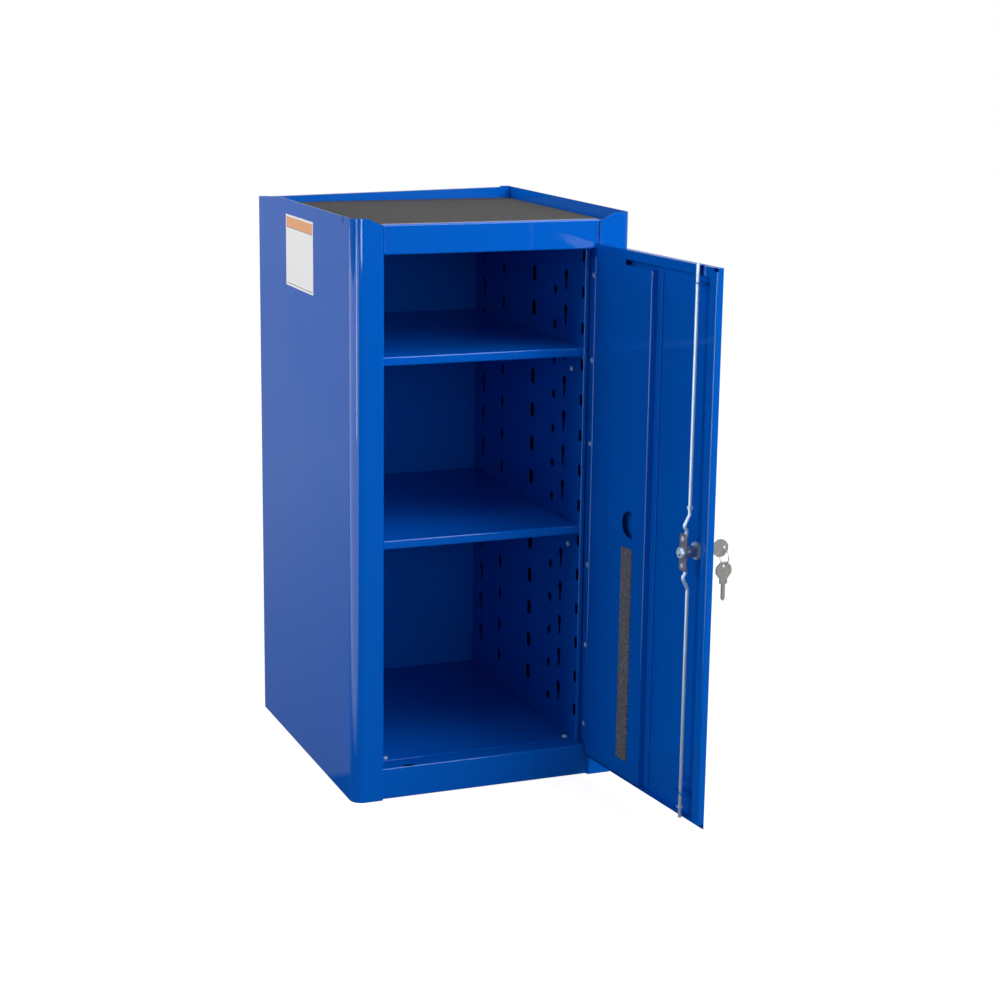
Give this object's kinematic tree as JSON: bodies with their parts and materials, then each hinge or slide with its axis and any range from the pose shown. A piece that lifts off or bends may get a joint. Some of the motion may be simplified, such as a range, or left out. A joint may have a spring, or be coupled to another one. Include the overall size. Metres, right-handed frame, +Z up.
{
  "type": "tool chest side locker",
  "caption": "Narrow steel side locker with a hinged front door, rod lock with keys, perforated inner walls, fixed shelves and a rimmed, matted top tray.",
  "frame": {"origin": "centre of the cabinet's base, on the floor", "axes": "+Z up, -Y out of the front of the cabinet, +X to the right seen from the front"},
  "size_m": [0.4391, 0.7607, 0.812],
  "materials": {
    "blue_paint": "gloss powder coat",
    "mat_rubber": "matt ribbed",
    "zinc_steel": "bright zinc",
    "lock_chrome": "polished",
    "key_nickel": "nickel plated",
    "grey_foam": "speckled foam",
    "label_card": "blank printed card"
  },
  "bodies": {
    "cabinet": {"left_side_panel": "blue_paint", "right_side_panel": "blue_paint", "back_panel": "blue_paint", "header_rail": "blue_paint", "bottom_rail": "blue_paint", "floor_panel": "blue_paint", "floor_brackets": "blue_paint", "floor_stiffener": "blue_paint", "top_tray": "blue_paint", "top_mat": "mat_rubber", "left_inner_wall": "blue_paint", "right_inner_wall": "blue_paint", "left_wall_channel": "blue_paint", "right_wall_channel": "blue_paint", "panel_screws": "zinc_steel", "hinge_cabinet_leaf": "blue_paint", "hinge_pin": "zinc_steel", "hinge_rivets_cabinet": "zinc_steel", "label_card": "label_card", "lower_shelf": "blue_paint", "upper_shelf": "blue_paint"},
    "door": {"door_pan": "blue_paint", "door_inner_panel": "blue_paint", "foam_strip": "grey_foam", "hinge_door_leaf": "blue_paint", "hinge_rivets_door": "zinc_steel", "upper_rod_guide": "blue_paint", "lower_rod_guide": "blue_paint", "lock_body": "lock_chrome", "lock_nut": "zinc_steel"},
    "lock_cam": {"lock_plug": "lock_chrome", "cam_plate": "zinc_steel", "cam_washer": "zinc_steel", "cam_nut": "zinc_steel"},
    "upper_lock_rod": {"upper_rod": "zinc_steel", "upper_rod_clip": "zinc_steel", "upper_rod_bead": "zinc_steel"},
    "lower_lock_rod": {"lower_rod": "zinc_steel", "lower_rod_clip": "zinc_steel", "lower_rod_ring": "zinc_steel"},
    "key": {"key": "key_nickel"},
    "key_ring": {"key_ring": "key_nickel"},
    "spare_key": {"spare_key": "key_nickel"}
  },
  "joints": [
    {"name": "door_hinge", "type": "hinge", "parent": "cabinet", "child": "door", "pos_m": [0.151, -0.227, 0.406], "axis": [0, 0, 1], "range_deg": [-95.4, 1]},
    {"name": "lock_turn", "type": "hinge", "parent": "door", "child": "lock_cam", "pos_m": [0.18428, -0.49405, 0.3975], "axis": [-0.9956, -0.0941, 0], "range_deg": [0, 90]},
    {"name": "upper_rod_pivot", "type": "hinge", "parent": "lock_cam", "child": "upper_lock_rod", "pos_m": [0.16517, -0.49586, 0.4155], "axis": [-0.9956, -0.0941, 0], "range_deg": [-95, 0]},
    {"name": "lower_rod_pivot", "type": "hinge", "parent": "lock_cam", "child": "lower_lock_rod", "pos_m": [0.16517, -0.49586, 0.3795], "axis": [-0.9956, -0.0941, 0], "range_deg": [-95, 0]},
    {"name": "key_pull", "type": "slide", "parent": "lock_cam", "child": "key", "axis": [0.9956, 0.0941, 0], "range_m": [0, 0.018]},
    {"name": "key_ring_swing", "type": "hinge", "parent": "key", "child": "key_ring", "pos_m": [0.2246, -0.49024, 0.396], "axis": [-0.0941, 0.9956, 0], "range_deg": [-45, 15]},
    {"name": "spare_key_swing", "type": "hinge", "parent": "key_ring", "child": "spare_key", "pos_m": [0.2246, -0.49024, 0.3746], "axis": [-0.0941, 0.9956, 0], "range_deg": [-25, 20]}
  ],
  "couplings": [
    {"joint": "upper_rod_pivot", "follows": "lock_turn", "ratio": -1.0374},
    {"joint": "lower_rod_pivot", "follows": "lock_turn", "ratio": -1.0398}
  ]
}
